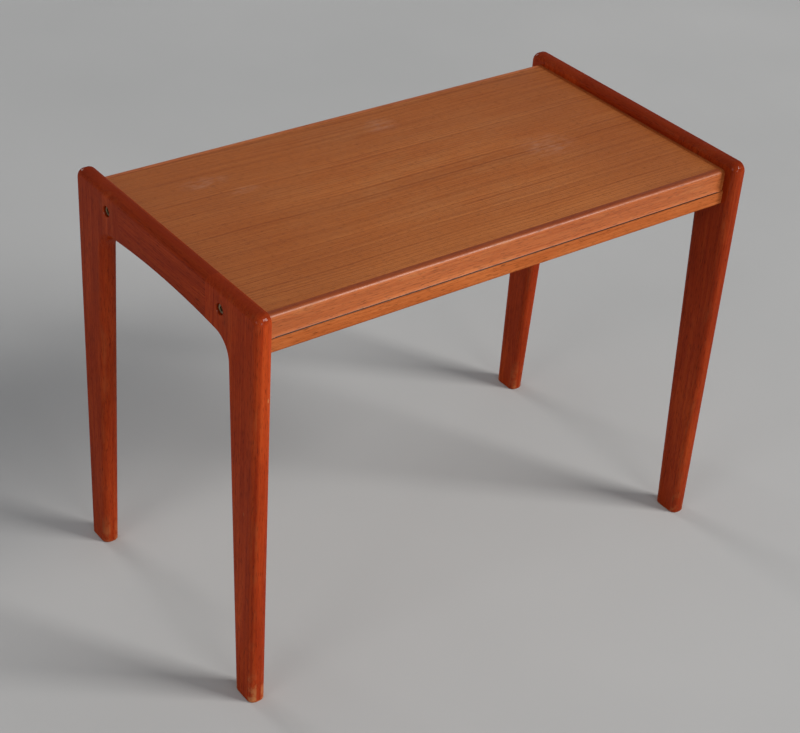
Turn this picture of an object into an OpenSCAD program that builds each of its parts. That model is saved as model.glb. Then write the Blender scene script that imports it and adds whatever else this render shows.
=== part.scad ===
// Low teak table: a veneered top bolted between two end frames.
// +X runs along the top, +Y runs towards the back, +Z is up.
// The origin lies on the floor, under the middle of the table.

/* [Overall] */
// Length over the outer faces of the two end frames
table_length = 602; // [450:1:800]
// Depth over the outer edges of the legs
table_depth = 333; // [300:1:450]
// Height of the end frames above the floor
table_height = 455; // [350:1:650]

/* [End frames] */
// Thickness of the legs and end rails
frame_thickness = 18.5; // [17:0.5:30]
// Radius that softens every long edge of a frame
frame_edge_radius = 7.5; // [3:0.5:8]
// Radius of the frame's upper outer corners
frame_corner_radius = 11; // [9:1:34]
// Width of a leg at the floor
foot_width = 32; // [24:1:42]
// Width of a leg just below its shoulder
leg_top_width = 52; // [46:1:60]
// Height of the end rail at mid length
rail_mid_height = 45.5; // [42:0.5:60]
// Rise of the arch under the end rail
rail_arch_rise = 7; // [4:0.5:8]
// Radius of the curve where a leg meets the rail
shoulder_radius = 22; // [12:1:26]
// Distance from the middle of the depth to each leg-to-rail joint
joint_offset = 80; // [60:1:84]

/* [Table top] */
// How far the end frames stand above the table top
frame_rise = 10.5; // [4:0.5:16]
// How far the top's front face stands behind the front of the legs
top_setback = 14; // [6:0.5:20]
// Thickness of the top panel with both veneers
panel_thickness = 22.8; // [20:0.2:26]
// Thickness of each face veneer
veneer_thickness = 0.7; // [0.5:0.1:1.5]
// Thickness of the solid lippings at the front and back
lipping_thickness = 8; // [6:0.5:12]
// Thickness of the solid lippings at the two ends
end_lipping_thickness = 4.5; // [3:0.5:6]
// Radius of the rounded upper edge of the lippings
lipping_arris_radius = 5; // [2:0.5:5]
// Height of the strips under the front and back of the panel
strip_height = 15.7; // [12:0.1:20]
// Depth of those strips from front to back
strip_depth = 22; // [20:1:30]
// How far a strip stands proud of the lipping above it
strip_proud = 1.5; // [0.5:0.5:2]

/* [Fittings] */
// Diameter of the bolts that hold the top between the frames
bolt_diameter = 6; // [5:0.5:6]
// Length of a bolt under its head
bolt_length = 48; // [46:1:60]
// Distance from the middle of the depth to each bolt
bolt_offset = 104; // [102:1:110]
// Diameter of the dowels in the leg-to-rail joints
dowel_diameter = 8; // [6:1:8]
// Length of those dowels
dowel_length = 32; // [24:1:32]

/* [Hidden] */
$fn = 64;

teak_frame = [0.56, 0.22, 0.10];
teak_rail = [0.60, 0.24, 0.10];
teak_lipping = [0.68, 0.33, 0.14];
teak_veneer = [0.66, 0.38, 0.20];
backing_veneer = [0.60, 0.40, 0.25];
blockboard = [0.80, 0.66, 0.46];
beech = [0.84, 0.68, 0.48];
steel = [0.55, 0.55, 0.56];
brass = [0.72, 0.58, 0.32];

slack = 0.05;      // play left round dowels and threads
past = 1;          // how far a cutting shape runs past a face

// Number of straight steps in each of a frame's curves.
edge_steps = 6;
corner_steps = 12;
shoulder_steps = 10;
arch_steps = 5;

half_length = table_length / 2;
half_depth = table_depth / 2;
frame_inner_x = half_length - frame_thickness;

// Heights of the horizontal layers.
top_z = table_height - frame_rise;
panel_bottom_z = top_z - panel_thickness;
core_top_z = top_z - veneer_thickness;
core_bottom_z = panel_bottom_z + veneer_thickness;
panel_mid_z = top_z - panel_thickness / 2;
strip_bottom_z = panel_bottom_z - strip_height;

// Front-to-back places of the top's edges.
strip_face_y = half_depth - top_setback + strip_proud;
lipping_face_y = half_depth - top_setback;
core_face_y = lipping_face_y - lipping_thickness;
panel_half_x = frame_inner_x - end_lipping_thickness;

// Outline of an end frame, drawn in the plane of depth and height.
// The arch under the rail is one circle, centred under the table.
arch_z = table_height - rail_mid_height;
arch_half_chord = half_depth - leg_top_width;
arch_radius = (arch_half_chord ^ 2 + rail_arch_rise ^ 2) / (2 * rail_arch_rise);
arch_centre_z = arch_z - arch_radius;
shoulder_z = arch_z - rail_arch_rise;

// The inner edge of a leg is a straight line that leans outwards downwards.
lean = atan((leg_top_width - foot_width) / shoulder_z);
inner_foot_y = half_depth - foot_width;
edge_direction = [-sin(lean), cos(lean)];
edge_inward = [-cos(lean), -sin(lean)];

// The shoulder circle touches that line and the arch from inside the opening.
shoulder_start = [inner_foot_y, 0] + shoulder_radius * edge_inward - [0, arch_centre_z];
shoulder_reach = arch_radius - shoulder_radius;
along = shoulder_start * edge_direction;
travel = sqrt(along ^ 2 - shoulder_start * shoulder_start + shoulder_reach ^ 2) - along;
shoulder_centre = shoulder_start + travel * edge_direction + [0, arch_centre_z];
arch_ray_angle = atan2(shoulder_centre.y - arch_centre_z, shoulder_centre.x);

// Across the thickness, each place gives the depth from the outer face and the inset there.
edge_places = [for (k = [0:edge_steps]) let (a = 90 * k / edge_steps)
    frame_edge_radius * [1 - cos(a), 1 - sin(a)]];
section_places = concat(
    edge_places,
    [for (k = [edge_steps:-1:0]) [frame_thickness - edge_places[k].x, edge_places[k].y]]
);

// Fittings.
counterbore_diameter = 11.5;
counterbore_depth = 8;
bolt_head_diameter = 10;
bolt_head_height = 6;
bolt_socket = 5.8;
bolt_socket_depth = 3.5;
bolt_clearance = 0.6;
bolt_hole_diameter = bolt_diameter + bolt_clearance;
bolt_head_x = half_length - counterbore_depth;
bolt_tip_x = bolt_head_x - bolt_length;
nut_diameter = 10;
nut_length = 14;
bolt_past_nut = 1.5;
nut_x = bolt_tip_x + nut_diameter / 2 + bolt_past_nut;
nut_slot_width = 1.2;
nut_slot_depth = 1.6;
lower_dowel_rise = 9;
dowel_spacing = 23;
dowel_heights = [arch_z + lower_dowel_rise, arch_z + lower_dowel_rise + dowel_spacing];
dowel_chamfer = 1;
screw_diameter = 4;
screw_length = 27;
screw_head_diameter = 7.6;
screw_head_height = 2.6;
screw_recess = 0.4;
screw_slot_width = 1;
screw_slot_depth = 1.1;
screw_inset = 6.5; // distance of the screws from the core's long face
screw_y = core_face_y - screw_inset;
screw_count = 4;
screw_places = [for (k = [0:screw_count - 1]) ((2 * k + 1) / screw_count - 1) * panel_half_x];
quirk = 0.7;       // bevel on both sides of the joint over a lower strip
flare_height = 5;  // height of the flare at the foot of a lipping

// Points of an arc from one angle to another, both ends included.
function arc(centre, radius, from, to, steps) =
    [for (k = [0:steps]) let (a = from + (to - from) * k / steps) centre + radius * [cos(a), sin(a)]];

// Outline of the rear leg in the plane of depth and height, moved inwards by an inset.
// It runs up the outer edge, over the corner, down the joint and back along the shoulder.
function leg_outline(inset) = let (
    arch = arch_radius + inset,
    corner_centre = [half_depth, table_height] - frame_corner_radius * [1, 1]
) concat(
    [[half_depth - inset, 0]],
    arc(corner_centre, frame_corner_radius - inset, 0, 90, corner_steps),
    [[joint_offset, table_height - inset]],
    arc([0, arch_centre_z], arch, acos(joint_offset / arch), arch_ray_angle, arch_steps),
    [for (k = [1:shoulder_steps])
        let (a = arch_ray_angle + (lean - arch_ray_angle) * k / shoulder_steps)
        shoulder_centre + (shoulder_radius + inset) * [cos(a), sin(a)]],
    [[inner_foot_y + inset / cos(lean), 0]]
);

// Outline of the end rail between its two joints.
function rail_outline(inset) = let (
    arch = arch_radius + inset,
    joint_angle = acos(joint_offset / arch)
) concat(
    [[joint_offset, table_height - inset], [-joint_offset, table_height - inset]],
    arc([0, arch_centre_z], arch, 180 - joint_angle, joint_angle, 2 * arch_steps)
);

// Solid of the frame's thickness whose long edges are rounded.
// Its rings are outlines; those near the two faces are inset along a quarter circle.
module round_edged(rings) {
    count = len(rings[0]);
    last = len(rings) - 1;
    polyhedron(
        points = [for (i = [0:last], p = rings[i]) [section_places[i].x, p.x, p.y]],
        faces = concat(
            [[for (j = [0:count - 1]) j]],
            [[for (j = [count - 1:-1:0]) last * count + j]],
            [for (i = [0:last - 1], j = [0:count - 1], half = [0, 1])
                let (a = i * count + j, b = i * count + (j + 1) % count)
                half == 0 ? [a, a + count, b + count] : [a, b + count, b]]
        )
    );
}

// Moves a frame's part from x = 0 (outer face) to its side of the table.
module in_frame(side) {
    if (side > 0) translate([half_length, 0, 0]) mirror([1, 0, 0]) children();
    else translate([-half_length, 0, 0]) children();
}

// Dowels of one frame. With extra greater than zero they are the holes for them.
module dowel_set(extra) {
    d = dowel_diameter + 2 * extra;
    for (s = [-1, 1], z = dowel_heights)
        translate([frame_thickness / 2, s * joint_offset + dowel_length / 2, z]) rotate([90, 0, 0])
            if (extra > 0) cylinder(d = d, h = dowel_length);
            else chamfered_dowel();
}

module chamfered_dowel() {
    c = dowel_chamfer;
    r = dowel_diameter / 2;
    rotate_extrude()
        polygon([
            [0, 0], [r - c, 0], [r, c],
            [r, dowel_length - c], [r - c, dowel_length], [0, dowel_length]
        ]);
}

// Bolt holes of one frame: a through bore and a recess for the head.
module frame_bolt_holes() {
    for (s = [-1, 1]) translate([0, s * bolt_offset, panel_mid_z]) rotate([0, 90, 0]) {
        translate([0, 0, -past]) cylinder(d = counterbore_diameter, h = counterbore_depth + past);
        translate([0, 0, -past]) cylinder(d = bolt_hole_diameter, h = frame_thickness + 2 * past);
    }
}

// y_side is -1 for the front leg and 1 for the rear leg.
module leg(side, y_side) {
    color(teak_frame) in_frame(side) difference() {
        mirror([0, y_side < 0 ? 1 : 0, 0])
            round_edged([for (place = section_places) leg_outline(place.y)]);
        dowel_set(slack);
        frame_bolt_holes();
    }
}

module end_rail(side) {
    color(teak_rail) in_frame(side) difference() {
        round_edged([for (place = section_places) rail_outline(place.y)]);
        dowel_set(slack);
    }
}

module frame_dowels(side) color(beech) in_frame(side) dowel_set(0);

// Holes through the top for the bolts, the barrel nuts and the strip screws.
module top_holes() {
    for (sx = [-1, 1], sy = [-1, 1]) {
        translate([sx * (bolt_tip_x - past), sy * bolt_offset, panel_mid_z]) rotate([0, sx * 90, 0])
            cylinder(d = bolt_hole_diameter, h = bolt_length);
        translate([sx * nut_x, sy * bolt_offset, panel_bottom_z - past])
            cylinder(d = nut_diameter + 2 * slack, h = panel_thickness / 2 + nut_length / 2 + past);
    }
    for (sy = [-1, 1], x = screw_places)
        translate([x, sy * screw_y, panel_bottom_z - past])
            cylinder(d = screw_diameter + 2 * slack, h = screw_length - strip_height + screw_recess + past);
}

module panel_layer(bottom, thickness) {
    difference() {
        translate([-panel_half_x, -core_face_y, bottom])
            cube([2 * panel_half_x, 2 * core_face_y, thickness]);
        top_holes();
    }
}

module top_core() color(blockboard) panel_layer(core_bottom_z, core_top_z - core_bottom_z);
module top_veneer() color(teak_veneer) panel_layer(core_top_z, veneer_thickness);
module bottom_veneer() color(backing_veneer) panel_layer(panel_bottom_z, veneer_thickness);

// Section of a long lipping: x is the distance outwards from the core, y is height.
module lipping_section() {
    r = lipping_arris_radius;
    t = lipping_thickness;
    h = panel_thickness;
    square([t, h - r]);
    square([t - r, h]);
    translate([t - r, h - r]) circle(r);
    difference() {
        translate([t - past, quirk]) square([strip_proud + past, flare_height - quirk]);
        translate([t + strip_proud, flare_height]) flare_hollow(strip_proud, flare_height - quirk);
    }
}

// Hollow of the flare, an arc through the lipping's face and the flare's tip.
module flare_hollow(depth, height) {
    radius = (depth ^ 2 + height ^ 2) / (2 * depth);
    translate([radius - depth, 0]) circle(radius);
}

// y_side is -1 for the front and 1 for the back.
module long_lipping(y_side) {
    color(teak_lipping)
        mirror([0, y_side < 0 ? 1 : 0, 0])
            translate([-panel_half_x, core_face_y, panel_bottom_z])
                rotate([90, 0, 90]) linear_extrude(2 * panel_half_x) lipping_section();
}

module end_lipping(side) {
    r = lipping_arris_radius;
    color(teak_lipping) difference() {
        translate([side > 0 ? panel_half_x : -frame_inner_x, 0, panel_bottom_z])
            rotate([90, 0, 90]) linear_extrude(end_lipping_thickness) {
                translate([-lipping_face_y, 0]) square([2 * lipping_face_y, panel_thickness - r]);
                translate([-lipping_face_y + r, 0]) square([2 * (lipping_face_y - r), panel_thickness]);
                for (s = [-1, 1]) translate([s * (lipping_face_y - r), panel_thickness - r]) circle(r);
            }
        top_holes();
    }
}

// Strip glued and screwed under the panel, with a bevel along the joint above it.
module lower_strip(y_side) {
    foot_round = 2;
    color(teak_lipping)
        mirror([0, y_side < 0 ? 1 : 0, 0]) difference() {
            translate([-frame_inner_x, strip_face_y - strip_depth, strip_bottom_z])
                rotate([90, 0, 90]) linear_extrude(2 * frame_inner_x) {
                    translate([0, foot_round])
                        square([strip_depth, strip_height - foot_round - quirk]);
                    translate([foot_round, 0])
                        square([strip_depth - 2 * foot_round, strip_height]);
                    for (x = [foot_round, strip_depth - foot_round])
                        translate([x, foot_round]) circle(foot_round);
                    translate([0, strip_height / 2]) square([strip_depth / 2, strip_height / 2]);
                    polygon([
                        [strip_depth - foot_round, strip_height - quirk],
                        [strip_depth, strip_height - quirk],
                        [strip_depth - quirk, strip_height],
                        [strip_depth - foot_round, strip_height]
                    ]);
                }
            for (x = screw_places) translate([x, screw_y, strip_bottom_z]) {
                translate([0, 0, -past])
                    cylinder(d = screw_diameter + 2 * slack, h = strip_height + 2 * past);
                translate([0, 0, screw_recess])
                    cylinder(d1 = screw_head_diameter, d2 = screw_diameter, h = screw_head_height);
                translate([0, 0, -past]) cylinder(d = screw_head_diameter, h = past + screw_recess);
            }
        }
}

module strip_screws(y_side) {
    point = 6;
    radius = screw_diameter / 2;
    color(brass) for (x = screw_places)
        translate([x, y_side * screw_y, strip_bottom_z + screw_recess]) difference() {
            rotate_extrude()
                polygon([
                    [0, 0],
                    [screw_head_diameter / 2, 0],
                    [radius, screw_head_height],
                    [radius, screw_length - point],
                    [0, screw_length]
                ]);
            translate([-screw_head_diameter, -screw_slot_width / 2, -past])
                cube([2 * screw_head_diameter, screw_slot_width, screw_slot_depth + past]);
        }
}

module bolts(side) {
    color(steel) for (s = [-1, 1])
        mirror([side < 0 ? 1 : 0, 0, 0])
            translate([bolt_head_x, s * bolt_offset, panel_mid_z]) rotate([0, 90, 0]) difference() {
                union() {
                    cylinder(d = bolt_head_diameter, h = bolt_head_height);
                    translate([0, 0, -bolt_length])
                        cylinder(d = bolt_diameter - 2 * slack, h = bolt_length + past);
                }
                translate([0, 0, bolt_head_height - bolt_socket_depth])
                    cylinder(d = bolt_socket, h = bolt_socket_depth + past, $fn = 6);
            }
}

module barrel_nuts(side) {
    color(brass) for (s = [-1, 1])
        mirror([side < 0 ? 1 : 0, 0, 0])
            translate([nut_x, s * bolt_offset, panel_mid_z]) difference() {
                translate([0, 0, -nut_length / 2]) cylinder(d = nut_diameter, h = nut_length);
                translate([-nut_diameter, 0, 0]) rotate([0, 90, 0])
                    cylinder(d = bolt_diameter, h = 2 * nut_diameter);
                translate([-nut_diameter, -nut_slot_width / 2, -nut_length / 2 - past])
                    cube([2 * nut_diameter, nut_slot_width, nut_slot_depth + past]);
            }
}

leg(-1, -1);  // left_front_leg
leg(-1, 1);  // left_rear_leg
end_rail(-1);  // left_end_rail
frame_dowels(-1);  // left_frame_dowels
leg(1, -1);  // right_front_leg
leg(1, 1);  // right_rear_leg
end_rail(1);  // right_end_rail
frame_dowels(1);  // right_frame_dowels
top_core();
top_veneer();
bottom_veneer();
long_lipping(-1);  // front_lipping
long_lipping(1);  // rear_lipping
end_lipping(-1);  // left_end_lipping
end_lipping(1);  // right_end_lipping
lower_strip(-1);  // front_lower_strip
lower_strip(1);  // rear_lower_strip
strip_screws(-1);  // front_strip_screws
strip_screws(1);  // rear_strip_screws
bolts(-1);  // left_bolts
bolts(1);  // right_bolts
barrel_nuts(-1);  // left_barrel_nuts
barrel_nuts(1);  // right_barrel_nuts
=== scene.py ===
import math

import bmesh
import bpy
from mathutils import Matrix, Vector


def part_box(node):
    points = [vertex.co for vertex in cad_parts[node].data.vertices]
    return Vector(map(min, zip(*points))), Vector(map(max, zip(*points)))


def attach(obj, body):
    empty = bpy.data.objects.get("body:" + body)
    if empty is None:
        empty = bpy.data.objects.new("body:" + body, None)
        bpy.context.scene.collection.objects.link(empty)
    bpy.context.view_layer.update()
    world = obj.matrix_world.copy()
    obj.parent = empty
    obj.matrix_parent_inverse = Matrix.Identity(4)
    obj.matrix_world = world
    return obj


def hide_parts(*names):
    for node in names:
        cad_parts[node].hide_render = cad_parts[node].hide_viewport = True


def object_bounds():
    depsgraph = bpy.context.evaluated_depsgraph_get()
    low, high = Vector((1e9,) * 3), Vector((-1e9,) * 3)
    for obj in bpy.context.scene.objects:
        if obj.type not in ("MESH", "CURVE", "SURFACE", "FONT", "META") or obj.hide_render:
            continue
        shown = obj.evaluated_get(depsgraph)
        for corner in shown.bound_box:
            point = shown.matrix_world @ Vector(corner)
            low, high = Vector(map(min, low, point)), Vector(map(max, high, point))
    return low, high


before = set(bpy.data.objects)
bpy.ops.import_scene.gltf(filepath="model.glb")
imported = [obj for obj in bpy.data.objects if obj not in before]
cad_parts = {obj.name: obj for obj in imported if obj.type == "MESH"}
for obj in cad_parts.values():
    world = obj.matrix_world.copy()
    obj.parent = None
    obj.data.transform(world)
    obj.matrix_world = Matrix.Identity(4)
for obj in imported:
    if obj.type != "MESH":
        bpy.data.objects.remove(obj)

CAD_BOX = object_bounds()
MM = 0.001

# ---------------------------------------------------------------- dimensions, in metres, and counts of steps
HALF_LENGTH = CAD_BOX[1].x
HALF_DEPTH = CAD_BOX[1].y
HEIGHT = CAD_BOX[1].z
LEG_LOW, LEG_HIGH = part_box("left_front_leg")
THICKNESS = LEG_HIGH.x - LEG_LOW.x
JOINT_Y = -LEG_HIGH.y
FOOT_WIDTH = 32 * MM
LEG_TOP_WIDTH = 52 * MM
EDGE_RADIUS = 7.5 * MM
CORNER_RADIUS = 11 * MM
ARCH_Z = HEIGHT - 45.5 * MM
ARCH_RISE = 7 * MM
SHOULDER_RADIUS = 22 * MM

VENEER_LOW, VENEER_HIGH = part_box("top_veneer")
LIPPING_LOW, LIPPING_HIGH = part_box("front_lipping")
END_LIPPING_LOW, END_LIPPING_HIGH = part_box("left_end_lipping")
STRIP_LOW, STRIP_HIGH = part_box("front_lower_strip")
ARRIS_RADIUS = 5 * MM
LIPPING_THICKNESS = 8 * MM
STRIP_PROUD = 1.5 * MM
FLARE_HEIGHT = 5 * MM
QUIRK = 0.5 * MM
SEAM_RUN_OUT = 1.2 * MM
SEAM_CLOSED = 0.05 * MM
SEAM_DARKENING_FADE = 0.4 * MM
STRIP_FOOT_ROUND = 2 * MM
STRIP_FOOT_STEPS = 6
VENEER_EASING = 0.18 * MM
END_LIPPING_EASING = 0.15 * MM

FOOT_ROUND = 1.3 * MM
FOOT_STEPS = 4
EDGE_STEPS = 10
CORNER_STEPS = 24
SHOULDER_STEPS = 20
ARCH_STEPS = 10
ARRIS_STEPS = 14
COVE_STEPS = 10
TURN_STEPS = 48
NARROW_TURN_STEPS = 32

# ---------------------------------------------------------------- bolts, dowels and screws, in metres
BOLT_HEAD_HEIGHT = 6 * MM
BOLT_SHANK_RADIUS = 2.95 * MM
BOLT_SOCKET_ACROSS_CORNERS = 5.8 * MM
BOLT_SOCKET_DEPTH = 3.2 * MM
RECESS_DIAMETER = 11.5 * MM
RECESS_EASING = 0.5 * MM
BORE_DIAMETER = 6.6 * MM
DOWEL_PLAY = 0.05 * MM
SCREWS_IN_A_STRIP = 4
SCREW_HOLE_RADIUS = 2.05 * MM
SCREW_SHANK_RADIUS = 2 * MM
SCREW_HEAD_SUNK = 0.4 * MM
SCREW_HEAD_DEPTH = 2.6 * MM
SCREW_SLOT_WIDTH = 1 * MM
SCREW_SLOT_DEPTH = 1.1 * MM
SCREW_POINT_LENGTH = 6 * MM
SCREW_TURN_STEPS = 40
CUTTER_REACH = 3 * MM

# ---------------------------------------------------------------- wood colours, linear (dark, middle, light)
FRAME_TONE = ((0.205, 0.016, 0.003), (0.380, 0.039, 0.006), (0.510, 0.075, 0.013))
EDGE_TONE = ((0.355, 0.077, 0.018), (0.535, 0.140, 0.036), (0.670, 0.218, 0.066))
VENEER_TONE = ((0.165, 0.031, 0.008), (0.435, 0.131, 0.031), (0.570, 0.206, 0.055))
VENEER_LOW_BAND, VENEER_HIGH_BAND = (0.375, 0.103, 0.022), (0.490, 0.158, 0.039)
# bare teak where the finish is rubbed through; on the lipping's flare it also paints a highlight
BARE_TEAK_AND_FLARE_HIGHLIGHT = (0.52, 0.21, 0.075)
# painted shade on the frames' tops and the strips' undersides, and a darker top on the lippings
DARK_TEAK_AND_PAINTED_SHADE = (0.150, 0.016, 0.004)
# near black in the seams: dirt and painted shade
SEAM_DIRT_AND_PAINTED_SHADE = (0.020, 0.006, 0.002)

# ---------------------------------------------------------------- how the pieces differ in tone, wear and painted shade
LEG_BRIGHTNESS = {
    "left_front_leg": 1.16, "left_rear_leg": 1.02, "right_front_leg": 0.88, "right_rear_leg": 1.02,
}
FOOT_WEAR = {
    "left_front_leg": 0.90, "left_rear_leg": 0.45, "right_front_leg": 0.45, "right_rear_leg": 0.45,
}
FRAME_TOP_PAINTED_SHADE = 1.05
ARRIS_SHADE = {"front": 1.0, "rear": 0.35}
END_LIPPING_SHADE = 0.6
FOOT_WEAR_HEIGHT = 42 * MM
SOLE_WEAR_HEIGHT = 3 * MM

# ---------------------------------------------------------------- camera, matched to the photo
CAMERA_AZIMUTH, CAMERA_ELEVATION, CAMERA_ROLL = -39.28, 34.14, 4.54
CAMERA_AIM = Vector((0.0220, 0.0, 0.1662))
CAMERA_DISTANCE = 1.983
CAMERA_LENS = 80.75
CAMERA_SHIFT = (-0.025, 0.0344)

LIGHT_AIM = Vector((0, 0, 0.3))
SIDES = ((-1, "left"), (1, "right"))
ENDS = ((-1, "front"), (1, "rear"))


# ---------------------------------------------------------------- mesh helpers
def arc(centre, radius, start, end, steps):
    """Points of an arc between two angles in radians, both ends included."""
    turns = [start + (end - start) * k / steps for k in range(steps + 1)]
    return [(centre[0] + radius * math.cos(a), centre[1] + radius * math.sin(a)) for a in turns]


def skin(bm, rings, caps=True):
    """Joins rings of 3-D points, each with the same count, into a closed skin."""
    rows = [[bm.verts.new(p) for p in ring] for ring in rings]
    count = len(rings[0])
    for a, b in zip(rows, rows[1:]):
        for j in range(count):
            k = (j + 1) % count
            bm.faces.new((a[j], b[j], b[k], a[k]))
    if caps:
        bm.faces.new(list(reversed(rows[-1])))
        bm.faces.new(rows[0])
    return rows


def turned(bm, profile, centre, axis, steps=TURN_STEPS):
    """Turns a profile of (radius, height) round an axis. An end on the axis is closed to a point."""
    across = Vector((0, 0, 1)) if abs(axis.z) < 0.5 else Vector((1, 0, 0))
    side = axis.cross(across).normalized()
    up = axis.cross(side)
    rows = []
    for radius, height in profile:
        base = centre + axis * height
        if radius < 1e-7:
            rows.append([bm.verts.new(base)])
            continue
        rows.append([
            bm.verts.new(base + radius * (math.cos(t) * side + math.sin(t) * up))
            for t in (2 * math.pi * k / steps for k in range(steps))
        ])
    for a, b in zip(rows, rows[1:]):
        for j in range(steps):
            k = (j + 1) % steps
            corners = [a[j % len(a)], b[j % len(b)], b[k % len(b)], a[k % len(a)]]
            face = list(dict.fromkeys(corners))
            if len(face) > 2:
                bm.faces.new(face)


def object_from(name, bm):
    bmesh.ops.recalc_face_normals(bm, faces=bm.faces)
    mesh = bpy.data.meshes.new(name)
    bm.to_mesh(mesh)
    bm.free()
    piece = bpy.data.objects.new(name, mesh)
    bpy.context.scene.collection.objects.link(piece)
    return piece


def settle(piece):
    """Applies the piece's modifiers to its mesh."""
    graph = bpy.context.evaluated_depsgraph_get()
    mesh = bpy.data.meshes.new_from_object(piece.evaluated_get(graph))
    old = piece.data
    piece.modifiers.clear()
    piece.data = mesh
    mesh.name = piece.name
    bpy.data.meshes.remove(old)


def cut(piece, cutter):
    """Takes the cutter away from the piece, and removes the cutter."""
    modifier = piece.modifiers.new("cut", "BOOLEAN")
    modifier.object = cutter
    modifier.solver = "EXACT"
    settle(piece)
    mesh = cutter.data
    bpy.data.objects.remove(cutter)
    bpy.data.meshes.remove(mesh)


def smooth(piece, angle=32):
    """Smooth shading that keeps flat faces flat and edges over the angle sharp."""
    mesh = piece.data
    for polygon in mesh.polygons:
        polygon.use_smooth = True
    mesh.set_sharp_from_angle(angle=math.radians(angle))
    modifier = piece.modifiers.new("normals", "WEIGHTED_NORMAL")
    modifier.keep_sharp = True
    modifier.weight = 80
    settle(piece)


def bevel_where(bm, chosen, width, segments):
    """Bevels the edges for which chosen(edge) is true."""
    edges = [e for e in bm.edges if chosen(e)]
    bmesh.ops.bevel(bm, geom=edges, offset=width, segments=segments, profile=0.5, affect="EDGES")


def place(piece, material, slot, *nodes):
    """Gives a finished piece its material, its body and the CAD nodes that it stands for. The slot is not
    used.
    """
    piece.data.materials.clear()
    piece.data.materials.append(material)
    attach(piece, "root")
    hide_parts(*nodes)
    return piece


# ---------------------------------------------------------------- node helpers
class Graph:
    """A material's node tree, with short calls for the nodes used here."""

    def __init__(self, name):
        self.material = bpy.data.materials.new(name)
        self.material.use_nodes = True
        self.tree = self.material.node_tree
        self.tree.nodes.clear()
        self.output = self.tree.nodes.new("ShaderNodeOutputMaterial")
        self.shader = self.tree.nodes.new("ShaderNodeBsdfPrincipled")
        self.tree.links.new(self.shader.outputs["BSDF"], self.output.inputs["Surface"])

    def put(self, socket, value):
        if isinstance(value, bpy.types.NodeSocket):
            self.tree.links.new(value, socket)
        elif value is not None:
            socket.default_value = value

    def node(self, kind, inputs=(), **settings):
        made = self.tree.nodes.new(kind)
        for key, value in settings.items():
            setattr(made, key, value)
        for key, value in dict(inputs).items():
            self.put(made.inputs[key], value)
        return made

    def coords(self):
        return self.node("ShaderNodeTexCoord").outputs["Object"]

    def mapped(self, vector, scale=(1, 1, 1), shift=(0, 0, 0), turn=(0, 0, 0)):
        made = self.node("ShaderNodeMapping", {"Vector": vector, "Scale": scale, "Location": shift})
        made.inputs["Rotation"].default_value = [math.radians(a) for a in turn]
        return made.outputs["Vector"]

    def split(self, vector):
        made = self.node("ShaderNodeSeparateXYZ", {"Vector": vector})
        return made.outputs["X"], made.outputs["Y"], made.outputs["Z"]

    def join(self, x, y, z):
        return self.node("ShaderNodeCombineXYZ", {"X": x, "Y": y, "Z": z}).outputs["Vector"]

    def math(self, what, a, b=None, clamp=False):
        made = self.node("ShaderNodeMath", operation=what, use_clamp=clamp)
        for socket, value in zip(made.inputs, (a, b)):
            self.put(socket, value)
        return made.outputs["Value"]

    def times(self, a, b, clamp=False):
        return self.math("MULTIPLY", a, b, clamp)

    def plus(self, a, b):
        return self.math("ADD", a, b)

    def minus(self, a, b):
        return self.math("SUBTRACT", a, b)

    def stretched(self, parts, scales, shift=0.0):
        """A noise's coordinates: each part times its scale. The shift is added to a third part, or is it."""
        scaled = [self.times(part, scale) for part, scale in zip(parts, scales)]
        if len(scaled) == 2:
            return self.join(*scaled, shift)
        if shift:
            scaled[2] = self.plus(scaled[2], shift)
        return self.join(*scaled)

    def span(self, value, low, high, to_low=0.0, to_high=1.0, smooth_step=False):
        made = self.node(
            "ShaderNodeMapRange",
            {"Value": value, "From Min": low, "From Max": high, "To Min": to_low, "To Max": to_high},
            interpolation_type="SMOOTHSTEP" if smooth_step else "LINEAR",
        )
        return made.outputs["Result"]

    def noise(self, vector, scale=1.0, detail=2.0, roughness=0.5):
        made = self.node(
            "ShaderNodeTexNoise",
            {"Vector": vector, "Scale": scale, "Detail": detail, "Roughness": roughness},
        )
        return made.outputs["Fac"]

    def noise_line(self, place_on_line, scale=1.0, detail=2.0, roughness=0.5):
        made = self.node(
            "ShaderNodeTexNoise",
            {"W": place_on_line, "Scale": scale, "Detail": detail, "Roughness": roughness},
            noise_dimensions="1D",
        )
        return made.outputs["Fac"]

    def cells(self, vector, scale=1.0):
        made = self.node("ShaderNodeTexVoronoi", {"Vector": vector, "Scale": scale})
        return made.outputs["Distance"], made.outputs["Color"]

    def ramp(self, value, stops):
        made = self.node("ShaderNodeValToRGB", {"Fac": value})
        band = made.color_ramp
        while len(band.elements) < len(stops):
            band.elements.new(0.5)
        for element, (position, colour) in zip(band.elements, stops):
            element.position = position
            element.color = (*colour, 1.0)
        return made.outputs["Color"]

    def mix(self, share, a, b):
        made = self.node("ShaderNodeMix", data_type="RGBA")
        self.put(made.inputs["Factor"], share)
        for key, value in ((6, a), (7, b)):
            if isinstance(value, (tuple, list)):
                value = (*value, 1.0)
            self.put(made.inputs[key], value)
        return made.outputs[2]

    def bump(self, height, distance, strength=1.0, normal=None):
        made = self.node("ShaderNodeBump", {"Height": height, "Distance": distance, "Strength": strength})
        if normal is not None:
            self.put(made.inputs["Normal"], normal)
        return made.outputs["Normal"]

    def attribute(self, name):
        return self.node("ShaderNodeAttribute", attribute_name=name).outputs["Fac"]

    def set(self, **values):
        for key, value in values.items():
            self.put(self.shader.inputs[key.replace("_", " ")], value)


def along_first(g, vector, axis):
    """Coordinates in metres with the grain's direction first."""
    x, y, z = g.split(vector)
    return {"X": (x, y, z), "Y": (y, z, x), "Z": (z, x, y)}[axis]


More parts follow.
